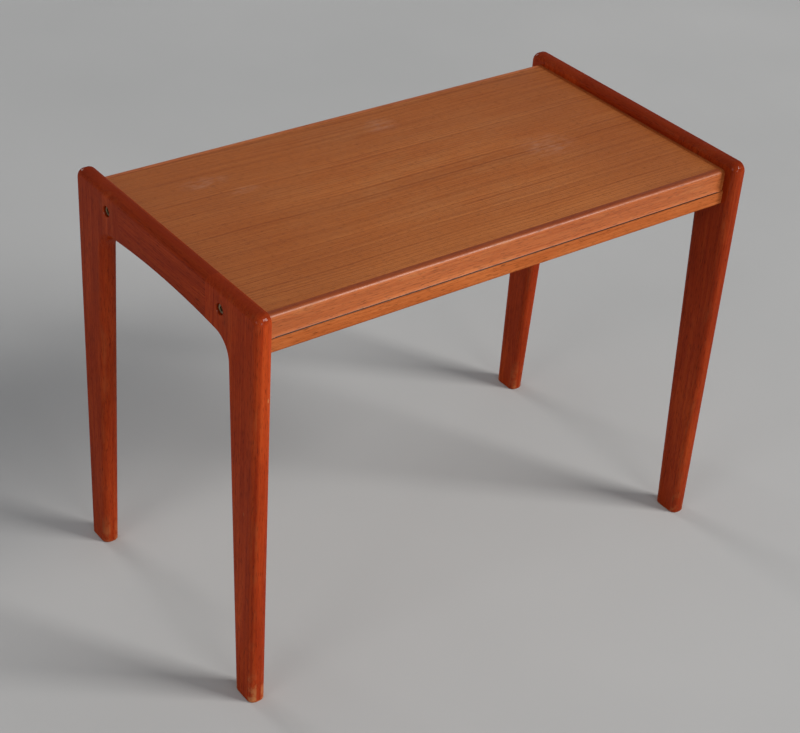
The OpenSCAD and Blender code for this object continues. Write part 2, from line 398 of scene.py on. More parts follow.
def teak_fields(g, parts, pith, tilt, seed):
    """The noises of teak's figure. Rings and bands run round a pith line that lies outside the piece."""
    along, across, over = parts
    drift = g.noise(g.join(g.times(along, 3.0), seed, 0.0), 1.0, 2.0)
    sway = g.times(g.minus(drift, 0.5), 0.020)
    lean = g.times(along, 0.02 * tilt)
    u = g.plus(g.minus(across, pith[0]), g.plus(sway, lean))
    v = g.minus(over, pith[1])
    radius = g.math("SQRT", g.plus(g.times(u, u), g.times(v, v)))
    wobble = g.noise(g.stretched(parts, (9.0, 60.0, 60.0)), 1.0, 3.0)
    radius = g.plus(radius, g.times(wobble, 0.0022))
    return {
        "rings": g.noise_line(g.plus(g.times(radius, 420.0), seed * 7.0), 1.0, 2.0, 0.6),
        "bands": g.noise_line(g.plus(g.times(radius, 80.0), seed * 3.0), 1.0, 1.0),
        "fibres": g.noise(g.stretched(parts, (16.0, 700.0, 700.0)), 1.0, 3.0, 0.6),
        "streaks": g.noise(g.stretched(parts, (7.0, 230.0, 230.0), seed), 1.0, 3.0, 0.6),
        "clouds": g.noise(g.stretched(parts, (6.0, 26.0, 26.0), seed), 1.0, 3.0, 0.6),
        "pores": g.span(g.noise(g.stretched(parts, (110.0, 1700.0, 1700.0)), 1.0, 1.0), 0.58, 0.68),
    }


def teak_colour(g, fields, tone, figure):
    """Clean wood: drawn rings, then bands, fibres, streaks and clouds, then dark pores."""
    dark, middle, light = tone
    drawn = g.ramp(g.span(fields["rings"], 0.34, 0.68), [(0.0, dark), (0.45, middle), (1.0, light)])
    body = g.mix(figure, middle, drawn)
    layers = (
        ("bands", 0.35, 0.65, 0.55 * figure, dark),
        ("fibres", 0.45, 0.68, 0.30, light),
        ("fibres", 0.45, 0.30, 0.35, dark),
        ("streaks", 0.50, 0.70, 0.30, dark),
        ("streaks", 0.46, 0.30, 0.32, light),
        ("clouds", 0.42, 0.66, 0.45, dark),
        ("clouds", 0.44, 0.28, 0.45, light),
    )
    for field, start, full, share, colour in layers:
        body = g.mix(g.span(fields[field], start, full, 0.0, share), body, colour)
    return g.mix(g.times(fields["pores"], 0.55), body, [c * 0.25 for c in dark])


def teak_wear(g, here, parts, edge_wear, foot_wear):
    """How far the finish is rubbed away, along the rounded edges and near the floor. On the lipping's flare
    the same mask paints a highlight.
    """
    edge = g.attribute("edge")
    patches = g.noise(here, 38.0, 3.0, 0.6)
    scratches = g.noise(g.stretched(parts, (20.0, 240.0, 240.0)), 1.0, 2.0)
    rubbed = g.times(g.times(edge, g.span(patches, 0.45, 0.62)), g.span(scratches, 0.42, 0.6))
    wear_and_flare_highlight = g.times(rubbed, edge_wear, clamp=True)
    if not foot_wear:
        return wear_and_flare_highlight
    height = g.split(here)[2]
    low = g.times(g.span(height, 0.0, FOOT_WEAR_HEIGHT, 1.0, 0.0), g.span(edge, 0.0, 0.5))
    scraped = g.times(low, g.span(g.noise(here, 75.0, 4.0, 0.65), 0.42, 0.60))
    sole = g.span(height, 0.0, SOLE_WEAR_HEIGHT, 1.0, 0.0)
    sole = g.times(sole, g.span(g.noise(here, 160.0, 2.0), 0.40, 0.6))
    return g.math("MAXIMUM", wear_and_flare_highlight, g.times(g.math("MAXIMUM", scraped, sole), foot_wear))


def teak_nicks(g, parts, seed):
    """Small knocks in the wood, mostly on the edges."""
    distance, colour = g.cells(g.stretched(parts, (30.0, 70.0, 70.0), seed * 5.0))
    chosen = g.math("GREATER_THAN", g.split(colour)[0], 0.93)
    nicks = g.times(g.span(distance, 0.05, 0.085, 1.0, 0.0), chosen)
    return g.times(nicks, g.span(g.attribute("edge"), 0.0, 0.6, 0.25, 1.0))


def solid_teak(name, axis, pith, tone, seed, figure=0.4, tilt=1.0, edge_wear=0.0, foot_wear=0.0,
               roughness=0.36, coat=0.20, coat_rough=0.12, specular=0.0):
    """Oiled solid teak, with wear on its edges, dirt and painted shade in its seams and a thin gloss.

    axis is the grain's direction and pith the place of the pith line across it, in metres.
    tone is the wood's dark, middle and light colour, figure the contrast of its rings, and
    seed shifts its noises so that no two pieces look the same. It reads three vertex attributes:
    edge (wear, which on the lipping's flare also paints a highlight), the seam's dirt and painted
    shade, and shade (painted shade on the frames' tops and the strips' undersides, a darker top on the
    lippings).
    """
    g = Graph(name)
    here = g.coords()
    parts = along_first(g, here, axis)
    fields = teak_fields(g, parts, pith, tilt, seed)
    wear_and_flare_highlight = teak_wear(g, here, parts, edge_wear, foot_wear)
    nicks = teak_nicks(g, parts, seed)
    seam_dirt_and_painted_shade = g.attribute("seam_dirt_and_painted_shade")

    body = teak_colour(g, fields, tone, figure)
    # Wear, and on the lipping's flare a painted highlight.
    body = g.mix(wear_and_flare_highlight, body, BARE_TEAK_AND_FLARE_HIGHLIGHT)
    body = g.mix(g.times(nicks, 0.8), body, BARE_TEAK_AND_FLARE_HIGHLIGHT)
    # Painted shade on the frames' tops and the strips' undersides; a darker top on the lippings.
    body = g.mix(g.times(g.attribute("shade"), 0.72), body, DARK_TEAK_AND_PAINTED_SHADE)
    # Dirt and painted shade in the seams, close to black.
    body = g.mix(g.times(seam_dirt_and_painted_shade, 0.92), body, SEAM_DIRT_AND_PAINTED_SHADE)

    rings, pores = fields["rings"], fields["pores"]
    rough = g.span(rings, 0.3, 0.7, roughness + 0.04, roughness - 0.03)
    rough = g.plus(rough, g.times(pores, 0.15))
    rough = g.plus(rough, g.span(g.noise(here, 30.0, 3.0), 0.35, 0.7, -0.04, 0.06))
    rough = g.plus(rough, g.times(seam_dirt_and_painted_shade, 0.35))
    rough = g.plus(rough, g.times(wear_and_flare_highlight, 0.25))

    relief = g.plus(g.times(rings, 0.3), g.times(fields["fibres"], 0.3))
    relief = g.minus(relief, g.times(pores, 0.8))
    relief = g.minus(relief, g.times(nicks, 2.0))
    normal = g.bump(relief, 0.06 * MM, 0.8)
    normal = g.bump(g.noise(here, 45.0, 1.0), 0.4 * MM, 0.35, normal)
    g.set(Base_Color=body, Roughness=rough, Normal=normal)
    g.set(Coat_Weight=coat, Coat_Roughness=coat_rough, Specular_IOR_Level=specular)
    return g.material


def veneer_fields(g, x, y):
    """The noises of the veneer's figure. Its lines run along X, leaning and swaying a little."""
    sway = g.noise(g.stretched((x, y), (2.2, 3.0), 4.0), 1.0, 1.0)
    ripple = g.noise(g.stretched((x, y), (16.0, 40.0), 9.0), 1.0, 2.0)
    line = g.plus(y, g.times(x, 0.018))
    line = g.plus(line, g.times(g.minus(sway, 0.5), 0.030))
    line = g.plus(line, g.times(g.minus(ripple, 0.5), 0.0026))
    return {
        "bands": g.noise_line(g.times(line, 26.0), 1.0, 2.0, 0.6),
        "lines": g.noise_line(g.times(line, 250.0), 1.0, 2.0, 0.6),
        "fine": g.noise_line(g.times(line, 720.0), 1.0, 1.0),
        "fibres": g.noise(g.stretched((x, line), (9.0, 1100.0)), 1.0, 2.0, 0.6),
        "pores": g.span(g.noise(g.stretched((x, line), (130.0, 2600.0), 3.0), 1.0, 1.0), 0.58, 0.68),
        "clouds": g.noise(g.stretched((x, y), (4.0, 11.0), 2.0), 1.0, 3.0),
        "mottle": g.noise(g.stretched((x, y), (11.0, 30.0), 6.0), 1.0, 4.0, 0.65),
        "fading": g.noise(g.stretched((x, line), (7.0, 160.0), 1.0), 1.0, 2.0),
    }


def veneer_lines(g, fields):
    """The drawn dark lines, which fade in and out and stand out most in the darker bands."""
    drawn = g.times(g.span(fields["lines"], 0.52, 0.64), g.span(fields["bands"], 0.66, 0.36, 0.35, 1.0))
    return g.times(drawn, g.span(fields["fading"], 0.36, 0.56, 0.30, 1.0))


def veneer_colour(g, x, y, fields, drawn):
    """Clean veneer: bands and mottle, painted shade at the back and the ends, painted light at the front,
    then its lines.
    """
    dark, middle, light = VENEER_TONE
    pale_mottle, red_mottle = (0.445, 0.175, 0.059), (0.400, 0.098, 0.019)
    # Colours of the painted shade at the back and the ends and the painted light at the front.
    back, front, ends = (0.335, 0.096, 0.023), (0.580, 0.198, 0.055), (0.335, 0.092, 0.022)
    bands, mottle = fields["bands"], fields["mottle"]
    body = g.ramp(g.span(bands, 0.30, 0.70), [(0.0, VENEER_LOW_BAND), (0.5, middle), (1.0, VENEER_HIGH_BAND)])
    body = g.mix(g.span(mottle, 0.46, 0.66, 0.0, 0.55), body, pale_mottle)
    body = g.mix(g.span(mottle, 0.48, 0.30, 0.0, 0.45), body, red_mottle)
    # Painted light and shade: paler towards the front, darker towards the back and the ends.
    body = g.mix(g.span(y, 0.02, VENEER_HIGH.y, 0.0, 0.45), body, back)
    body = g.mix(g.span(y, -0.03, VENEER_LOW.y, 0.0, 0.65), body, front)
    away = g.math("ABSOLUTE", x)
    painted_end_shade = g.span(away, 0.35 * VENEER_HIGH.x, 0.8 * VENEER_HIGH.x, 0.0, 0.62, smooth_step=True)
    body = g.mix(painted_end_shade, body, ends)
    body = g.mix(g.times(drawn, 0.78), body, dark)
    body = g.mix(g.span(fields["fine"], 0.48, 0.66, 0.0, 0.60), body, dark)
    body = g.mix(g.span(fields["fibres"], 0.50, 0.72, 0.0, 0.45), body, light)
    body = g.mix(g.span(fields["clouds"], 0.38, 0.66, 0.0, 0.48), body, VENEER_LOW_BAND)
    return g.mix(g.times(fields["pores"], 0.55), body, (0.080, 0.022, 0.008))


def veneer_scuffs(g, x, y):
    """Dull rubbed places on the top: where they are, times how thickly they are scratched."""
    scuffs = None
    for spot_x, spot_y, size_x, size_y in scuff_spots():
        away_x = g.math("DIVIDE", g.minus(x, spot_x), size_x)
        away_y = g.math("DIVIDE", g.minus(y, spot_y), size_y)
        far = g.math("SQRT", g.plus(g.times(away_x, away_x), g.times(away_y, away_y)))
        spot = g.span(far, 0.2, 1.0, 1.0, 0.0, smooth_step=True)
        scuffs = spot if scuffs is None else g.math("MAXIMUM", scuffs, spot)
    field = g.noise(g.stretched((x, y), (60.0, 170.0), 8.0), 1.0, 4.0, 0.7)
    return g.times(scuffs, g.span(field, 0.42, 0.66))


def veneer_specks(g, here):
    """A few small dark spots."""
    distance, colour = g.cells(g.mapped(here, (1, 1, 1), (0.3, 0.1, 0)), 17.0)
    chosen = g.math("GREATER_THAN", g.split(colour)[0], 0.86)
    return g.times(g.span(distance, 0.012, 0.022, 1.0, 0.0), chosen)


def top_veneer_teak():
    """Straight-grained teak veneer, golden brown, with fine dark lines, pores and the marks of use."""
    g = Graph("top_veneer_teak")
    here = g.coords()
    x, y, _ = g.split(here)
    fields = veneer_fields(g, x, y)
    drawn = veneer_lines(g, fields)
    scuffs = veneer_scuffs(g, x, y)
    pores = fields["pores"]

    body = veneer_colour(g, x, y, fields, drawn)
    body = g.mix(g.times(scuffs, 0.12), body, (0.80, 0.62, 0.52))
    body = g.mix(g.times(veneer_specks(g, here), 0.8), body, (0.045, 0.022, 0.014))

    rough = g.span(fields["bands"], 0.3, 0.7, 0.46, 0.40)
    rough = g.plus(rough, g.times(pores, 0.15))
    rough = g.plus(rough, g.span(g.noise(here, 14.0, 4.0), 0.35, 0.7, -0.03, 0.07))
    rough = g.plus(rough, g.times(scuffs, 0.12))

    relief = g.minus(g.times(fields["fibres"], 0.4), g.times(pores, 0.9))
    relief = g.minus(relief, g.times(drawn, 0.35))
    normal = g.bump(relief, 0.05 * MM, 0.8)
    normal = g.bump(g.noise(here, 9.0, 1.0), 0.6 * MM, 0.25, normal)
    g.set(Base_Color=body, Roughness=rough, Normal=normal)
    g.set(Coat_Weight=0.06, Coat_Roughness=0.30, Specular_IOR_Level=0.14)
    return g.material


def scuff_spots():
    """Places and sizes of the top's rubbed spots, in metres. They are given as shares of its half size."""
    shares = (
        (-0.72, 0.62, 0.13, 0.10),
        (-0.62, 0.40, 0.08, 0.06),
        (0.56, -0.10, 0.16, 0.22),
        (0.10, 0.75, 0.10, 0.14),
    )
    half_x, half_y = VENEER_HIGH.x, VENEER_HIGH.y
    return [(a * half_x, b * half_y, c * half_x, d * half_y) for a, b, c, d in shares]


def raw_wood(name, axis, dark, light, rough=0.7):
    """Plain unfinished wood with a fine straight grain."""
    g = Graph(name)
    here = g.coords()
    parts = along_first(g, here, axis)
    streaks = g.noise(g.stretched(parts, (5.0, 260.0, 260.0)), 1.0, 3.0, 0.6)
    fibres = g.noise(g.stretched(parts, (40.0, 1500.0, 1500.0)), 1.0, 2.0)
    clouds = g.noise(here, 9.0, 3.0)
    body = g.ramp(g.span(streaks, 0.34, 0.68), [(0.0, dark), (1.0, light)])
    body = g.mix(g.span(fibres, 0.5, 0.7, 0.0, 0.35), body, dark)
    body = g.mix(g.span(clouds, 0.4, 0.7, 0.0, 0.3), body, [c * 0.75 for c in light])
    g.set(Base_Color=body, Roughness=g.span(fibres, 0.3, 0.7, rough - 0.05, rough + 0.1))
    g.set(Normal=g.bump(fibres, 0.08 * MM, 0.7), Specular_IOR_Level=0.3)
    return g.material


def metal(name, colour, tarnish, rough):
    """Dulled metal with fine scratches and darker tarnish."""
    g = Graph(name)
    here = g.coords()
    stains = g.noise(here, 420.0, 4.0, 0.65)
    scratches = g.noise(g.mapped(here, (600, 9000, 3000), (0, 0, 0), (20, 35, 10)), 1.0, 2.0)
    body = g.ramp(g.span(stains, 0.38, 0.66), [(0.0, colour), (1.0, tarnish)])
    body = g.mix(g.span(scratches, 0.55, 0.7, 0.0, 0.25), body, [min(1.0, c * 1.3) for c in colour])
    g.set(Base_Color=body, Metallic=1.0, Roughness=g.span(stains, 0.35, 0.7, rough, rough + 0.25))
    g.set(Normal=g.bump(g.plus(scratches, stains), 0.03 * MM, 0.5))
    return g.material


# ---------------------------------------------------------------- end frames
def frame_lines():
    """Values shared by the outlines of the legs and rails, in the plane of depth and height."""
    half_chord = HALF_DEPTH - LEG_TOP_WIDTH
    arch_radius = (half_chord ** 2 + ARCH_RISE ** 2) / (2 * ARCH_RISE)
    arch_centre = Vector((0, ARCH_Z - arch_radius))
    lean = math.atan((LEG_TOP_WIDTH - FOOT_WIDTH) / (ARCH_Z - ARCH_RISE))
    inner_foot = HALF_DEPTH - FOOT_WIDTH
    direction = Vector((-math.sin(lean), math.cos(lean)))
    inward = Vector((-math.cos(lean), -math.sin(lean)))
    start = Vector((inner_foot, 0)) + SHOULDER_RADIUS * inward - arch_centre
    along = start.dot(direction)
    reach = arch_radius - SHOULDER_RADIUS
    travel = math.sqrt(along ** 2 - start.length_squared + reach ** 2) - along
    shoulder = start + travel * direction + arch_centre
    ray = math.atan2(shoulder.y - arch_centre.y, shoulder.x)
    return arch_radius, arch_centre, lean, inner_foot, shoulder, ray


def leg_outline(inset):
    """Outline of the rear leg in depth and height, moved inwards by an inset."""
    arch_radius, arch_centre, lean, inner_foot, shoulder, ray = frame_lines()
    corner = (HALF_DEPTH - CORNER_RADIUS, HEIGHT - CORNER_RADIUS)
    reach = arch_radius + inset
    points = [(HALF_DEPTH - inset, z) for z in foot_levels()]
    points += arc(corner, CORNER_RADIUS - inset, 0, math.pi / 2, CORNER_STEPS)
    points += [(JOINT_Y, HEIGHT - inset)]
    points += arc(arch_centre, reach, math.acos(JOINT_Y / reach), ray, ARCH_STEPS)
    points += arc(shoulder, SHOULDER_RADIUS + inset, ray, lean, SHOULDER_STEPS)[1:]
    moved = inset / math.cos(lean)
    points += [(inner_foot - z * math.tan(lean) + moved, z) for z in reversed(foot_levels())]
    return points


def foot_levels():
    """Heights of the rings of points that round a foot's sole edge, the sole first."""
    return [FOOT_ROUND * (1 - math.cos(math.pi / 2 * k / FOOT_STEPS)) for k in range(FOOT_STEPS + 1)]


def foot_draw_in(z):
    """How far the rounded sole edge draws in at a height."""
    if z >= FOOT_ROUND:
        return 0.0
    return FOOT_ROUND - math.sqrt(FOOT_ROUND ** 2 - (FOOT_ROUND - z) ** 2)


def rail_outline(inset):
    """Outline of an end rail between its two joints."""
    arch_radius, arch_centre, *_ = frame_lines()
    reach = arch_radius + inset
    turn = math.acos(JOINT_Y / reach)
    points = [(JOINT_Y, HEIGHT - inset), (-JOINT_Y, HEIGHT - inset)]
    return points + arc(arch_centre, reach, math.pi - turn, turn, 2 * ARCH_STEPS)


def section_places():
    """Places across a frame's thickness: depth from the outer face, inset, and angle round the edge."""
    quarter = [math.pi / 2 * k / EDGE_STEPS for k in range(EDGE_STEPS + 1)]
    near = [(EDGE_RADIUS * (1 - math.cos(a)), EDGE_RADIUS * (1 - math.sin(a)), a) for a in quarter]
    return near + [(THICKNESS - depth, inset, math.pi - a) for depth, inset, a in reversed(near)]


def leg_rings(side, flip):
    """Rings of a leg's skin. Near the sole each ring draws in, which rounds the foot's edge."""
    _, _, lean, inner_foot, *_ = frame_lines()
    middle = (HALF_DEPTH + inner_foot) / 2
    rings = []
    for depth, inset, angle in section_places():
        ring = []
        for y, z in leg_outline(inset):
            drawn = foot_draw_in(z)
            outer = 1 if y > middle else -1
            y -= outer * drawn * math.sin(angle)
            x = side * (HALF_LENGTH - depth - drawn * math.cos(angle))
            ring.append(Vector((x, flip * y, z)))
        rings.append(ring)
    return rings


def cap_leg(bm, row, turned_over):
    """Closes a leg's flat face: level strips at the rounded sole, and one face above them."""
    count = len(row)
    for k in range(FOOT_STEPS):
        corners = [row[k], row[k + 1], row[count - 2 - k], row[count - 1 - k]]
        bm.faces.new(list(reversed(corners)) if turned_over else corners)
    rest = row[FOOT_STEPS:count - FOOT_STEPS]
    bm.faces.new(list(reversed(rest)) if turned_over else rest)


def frame_member(name, outline, side, flip):
    """Solid of a frame's thickness with rounded long edges.

    outline(inset) gives its shape in depth and height. side is -1 on the left, and flip is -1 at the front.
    """
    bm = bmesh.new()
    wear_and_flare_highlight_layer = bm.verts.layers.float.new("edge")
    shaded = bm.verts.layers.float.new("shade")
    if outline is leg_outline:
        rows = skin(bm, leg_rings(side, flip), caps=False)
        cap_leg(bm, rows[0], False)
        cap_leg(bm, rows[-1], True)
    else:
        rows = skin(bm, [
            [Vector((side * (HALF_LENGTH - depth), flip * y, z)) for y, z in outline(inset)]
            for depth, inset, _ in section_places()
        ])
    for row, (_, _, angle) in zip(rows, section_places()):
        for vert in row:
            vert[wear_and_flare_highlight_layer] = 1.0 if vert.co.z < FOOT_ROUND else abs(math.sin(2 * angle))
            # Painted shade: the tops of the rails and legs are darkened, most along the middle of their
            # crown.
            crown = max(0.0, 1 - (HEIGHT - vert.co.z) / CORNER_RADIUS)
            vert[shaded] = FRAME_TOP_PAINTED_SHADE * crown * math.sin(angle)
    return object_from(name, bm)


def fitting_places():
    """Places and sizes of the bolts and dowels, read from the frame's boxes."""
    bolt_low, bolt_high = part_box("right_bolts")
    head = bolt_high.z - bolt_low.z
    dowel_low, dowel_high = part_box("right_frame_dowels")
    dowel = dowel_high.x - dowel_low.x
    return {
        "bolt_y": bolt_high.y - head / 2,
        "bolt_z": (bolt_low.z + bolt_high.z) / 2,
        "head": head,
        "bolt_out": bolt_high.x,
        "bolt_tip": bolt_low.x,
        "dowel": dowel,
        "dowel_x": (dowel_low.x + dowel_high.x) / 2,
        "dowel_z": (dowel_low.z + dowel / 2, dowel_high.z - dowel / 2),
        "dowel_length": (dowel_high.y - JOINT_Y) * 2,
    }


PLACES = fitting_places()


def bolt_hole(bm, side, end):
    """Adds the cutter for one bolt's bore and its recess, whose rim is eased."""
    bore, recess = BORE_DIAMETER / 2, RECESS_DIAMETER / 2
    seat = PLACES["bolt_out"] - BOLT_HEAD_HEIGHT
    depth = HALF_LENGTH - seat
    mouth, beyond = recess + RECESS_EASING, depth + CUTTER_REACH
    profile = [
        (0, -2 * THICKNESS), (bore, -2 * THICKNESS), (bore, 0), (recess, 0),
        (recess, depth - RECESS_EASING), (mouth, depth), (mouth, beyond), (0, beyond),
    ]
    centre = Vector((side * seat, end * PLACES["bolt_y"], PLACES["bolt_z"]))
    turned(bm, profile, centre, Vector((side, 0, 0)))


def dowel_hole(bm, side, end, z):
    """Adds the cutter for one dowel's hole across a joint."""
    radius = PLACES["dowel"] / 2 + DOWEL_PLAY
    half = PLACES["dowel_length"] / 2
    profile = [(0, -half), (radius, -half), (radius, half), (0, half)]
    centre = Vector((side * PLACES["dowel_x"], end * JOINT_Y, z))
    turned(bm, profile, centre, Vector((0, 1, 0)), NARROW_TURN_STEPS)


def frame_holes(side, ends, bolts):
    """Cutter for a frame member: the dowel holes at its joints and, in a leg, the bolt's hole."""
    bm = bmesh.new()
    if bolts:
        for end in ends:
            bolt_hole(bm, side, end)
    for end in ends:
        for z in PLACES["dowel_z"]:
            dowel_hole(bm, side, end, z)
    return object_from("cutter", bm)


def build_leg(side, side_name, flip, end_name, seed):
    node = f"{side_name}_{end_name}_leg"
    leg = frame_member("shaped_" + node, leg_outline, side, flip)
    cut(leg, frame_holes(side, (flip,), True))
    smooth(leg)
    pith = (side * (HALF_LENGTH + 0.035 + 0.01 * seed), flip * (HALF_DEPTH - 0.10))
    tone = tuple(tuple(LEG_BRIGHTNESS[node] * c for c in colour) for colour in FRAME_TONE)
    teak = solid_teak("teak_" + node, "Z", pith, tone, seed=seed, figure=0.32, tilt=flip, edge_wear=0.10,
                      foot_wear=FOOT_WEAR[node])
    place(leg, teak, "frame_teak", node)


def build_rail(side, side_name, seed):
    node = f"{side_name}_end_rail"
    rail = frame_member("shaped_" + node, rail_outline, side, 1)
    cut(rail, frame_holes(side, (-1, 1), False))
    smooth(rail)
    pith = (HEIGHT - 0.075, side * (HALF_LENGTH + 0.05))
    teak = solid_teak("teak_" + node, "Y", pith, FRAME_TONE, seed=seed, figure=0.34, tilt=0.6, edge_wear=0.08)
    place(rail, teak, "rail_teak", node)


def build_end_frames():
    """Two end frames. Each member's seed gives it a figure of its own."""
    seed, step = 1.0, 1.7
    for side, side_name in SIDES:
        for flip, end_name in ENDS:
            build_leg(side, side_name, flip, end_name, seed)
            seed += step
        build_rail(side, side_name, seed)
        seed += step


# ---------------------------------------------------------------- top panel
def build_top_veneer():
    low, high = VENEER_LOW, VENEER_HIGH
    bm = bmesh.new()
    corners = [(low.x, low.y), (high.x, low.y), (high.x, high.y), (low.x, high.y)]
    rings = [[Vector((x, y, z)) for x, y in corners] for z in (low.z, high.z)]
    skin(bm, rings)
    bevel_where(bm, lambda e: all(abs(v.co.z - high.z) < 1e-6 for v in e.verts), VENEER_EASING, 2)
    veneer = object_from("shaped_top_veneer", bm)
    smooth(veneer)
    place(veneer, top_veneer_teak(), "top_veneer", "top_veneer")


def seam_stations(low_x, high_x):
    """Places along a long edge, and how open the seam is there. It stops short of the end frames."""
    stop = END_LIPPING_HIGH.x - END_LIPPING_LOW.x
    return [(low_x, 0.0), (low_x + stop - SEAM_RUN_OUT, 0.0), (low_x + stop, 1.0),
            (high_x - stop, 1.0), (high_x - stop + SEAM_RUN_OUT, 0.0), (high_x, 0.0)]


def seam_gap(openness):
    """Width of the seam's groove. A hair is left where the seam is closed, so that no points coincide."""
    return max(QUIRK * openness, SEAM_CLOSED)


def lipping_section(openness, shade):
    """Section of a long lipping, as (out from the core, up from its foot, edge wear with the flare's painted
    highlight, dirt and painted shade in the seam, darker top).
    """
    t, h, r = LIPPING_THICKNESS, LIPPING_HIGH.z - LIPPING_LOW.z, ARRIS_RADIUS
    gap = seam_gap(openness)
    rise = FLARE_HEIGHT - gap
    hollow = (STRIP_PROUD ** 2 + rise ** 2) / (2 * STRIP_PROUD)
    start = math.asin(rise / hollow)
    # The seam's points carry dirt and painted shade, as far as the seam is open.
    points = [(0.0, 0.0, 0.0, openness, 0.0), (t, 0.0, 0.0, openness, 0.0), (t, gap, 0.0, openness, 0.0),
              (t + STRIP_PROUD, gap, 1.0, openness, 0.0)]
    # Painted highlight, partly wear: the flare's foot above and the lower cove get a high edge value, which
    # paints the upturned flare paler.
    cove = arc((t + hollow, FLARE_HEIGHT), hollow, math.pi + start, math.pi, COVE_STEPS)
    points += [(u, w, 0.9, 0.0, 0.0) for u, w in cove[1:-2]]
    points += [(u, w, 0.0, 0.0, 0.0) for u, w in cove[-2:]]
    rounded = arc((t - r, h - r), r, 0, math.pi / 2, ARRIS_STEPS)
    points += [(u, w, 1.0, 0.0, shade * max(0.0, 2.2 * (w - h + r) / r - 1.2)) for u, w in rounded]
    points += [(0.0, h, 0.0, 0.0, shade)]
    return points


def swept_along_x(name, section, stations, y_of, z0):
    """Sweeps section(openness), points of (out, up, edge wear, seam dirt and painted shade, shade), through
    stations along X.
    """
    bm = bmesh.new()
    wear_and_flare_highlight_layer = bm.verts.layers.float.new("edge")
    seam_darkening_layer = bm.verts.layers.float.new("seam_dirt_and_painted_shade")
    shaded = bm.verts.layers.float.new("shade")
    sections = [section(openness) for _, openness in stations]
    rings = [
        [Vector((x, y_of(u), z0 + w)) for u, w, *_ in points]
        for (x, _), points in zip(stations, sections)
    ]
    for row, points in zip(skin(bm, rings), sections):
        for vert, (_, _, edge, seam_dirt_and_painted_shade, shade) in zip(row, points):
            vert[wear_and_flare_highlight_layer] = edge
            vert[seam_darkening_layer] = seam_dirt_and_painted_shade
            vert[shaded] = shade
    return object_from(name, bm)


def build_long_lippings():
    core_y = VENEER_HIGH.y
    for flip, end_name in ENDS:
        node = end_name + "_lipping"
        low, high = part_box(node)
        shade = ARRIS_SHADE[end_name]
        lipping = swept_along_x("shaped_" + node, lambda openness: lipping_section(openness, shade),
                                seam_stations(low.x, high.x), lambda u: flip * (core_y + u), low.z)
        smooth(lipping)
        pith = (flip * (core_y + 0.006), low.z - 0.055)
        teak = solid_teak("teak_" + node, "X", pith, EDGE_TONE, seed=3.0 + flip, figure=0.35, tilt=0.25,
                          edge_wear=0.32, roughness=0.34, coat=0.24, coat_rough=0.30, specular=0.16)
        place(lipping, teak, "edge_teak", node)


def build_end_lippings():
    for side, side_name in SIDES:
        node = side_name + "_end_lipping"
        low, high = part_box(node)
        r, h = ARRIS_RADIUS, high.z - low.z
        half = high.y
        outline = [(-half, 0.0), (half, 0.0)]
        outline += arc((half - r, h - r), r, 0, math.pi / 2, ARRIS_STEPS)
        outline += arc((-half + r, h - r), r, math.pi / 2, math.pi, ARRIS_STEPS)
        bm = bmesh.new()
        shaded = bm.verts.layers.float.new("shade")
        for row in skin(bm, [[Vector((x, y, low.z + z)) for y, z in outline] for x in (low.x, high.x)]):
            for vert in row:
                vert[shaded] = END_LIPPING_SHADE if vert.co.z > low.z + h / 2 else 0.0
        bevel_where(bm, lambda e: all(abs(v.co.x - low.x) < 1e-6 for v in e.verts)
                    or all(abs(v.co.x - high.x) < 1e-6 for v in e.verts), END_LIPPING_EASING, 1)
        lipping = object_from("shaped_" + node, bm)
        smooth(lipping)
        teak = solid_teak("teak_" + node, "Y", (low.z - 0.04, low.x), EDGE_TONE, seed=6.0 + side, tilt=0.2)
        place(lipping, teak, "end_lipping_teak", node)


def strip_section(openness):
    """Section of a lower strip, as (out from its face, up from its foot, edge wear, dirt and painted shade in
    the seam, painted shade under the foot).
    """
    depth, height = STRIP_HIGH.y - STRIP_LOW.y, STRIP_HIGH.z - STRIP_LOW.z
    r, gap = STRIP_FOOT_ROUND, seam_gap(openness)
    back = arc((-depth + r, r), r, math.pi, 1.5 * math.pi, STRIP_FOOT_STEPS)
    foot = arc((-r, r), r, 1.5 * math.pi, 2 * math.pi, STRIP_FOOT_STEPS)
    points = [(u, w, 0.0, 0.0, 0.0) for u, w in back]
    # Painted shade: the rounded foot darkens towards the strip's underside.
    points += [(u, w, 1.0, 0.0, 1.0 - w / r) for u, w in foot]
    # The seam's points carry dirt and painted shade, as far as the seam is open.
    points += [(0.0, height - gap - SEAM_DARKENING_FADE, 0.3, 0.0, 0.0), (0.0, height - gap, 0.3, openness, 0.0),
               (-gap, height, 0.0, openness, 0.0), (-depth, height, 0.0, 0.0, 0.0)]
    return points


def screw_places():
    """The front screws' places along X, their place in depth, and the diameter of their heads."""
    low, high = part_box("front_strip_screws")
    head = high.y - low.y
    first, reach = low.x + head / 2, high.x - low.x - head
    xs = [first + reach * k / (SCREWS_IN_A_STRIP - 1) for k in range(SCREWS_IN_A_STRIP)]
    return xs, (low.y + high.y) / 2, head


def screw_holes(xs, y, z, head):
    """Cutter for the countersunk screw holes of a lower strip."""
    bm = bmesh.new()
    mouth = head / 2 + 0.1 * MM
    below, beyond = -2 * MM, 30 * MM
    neck = SCREW_HEAD_SUNK + SCREW_HEAD_DEPTH
    profile = [(0, below), (mouth, below), (mouth, SCREW_HEAD_SUNK), (SCREW_HOLE_RADIUS, neck),
               (SCREW_HOLE_RADIUS, beyond), (0, beyond)]
    for x in xs:
        turned(bm, profile, Vector((x, y, z)), Vector((0, 0, 1)), NARROW_TURN_STEPS)
    return object_from("cutter", bm)


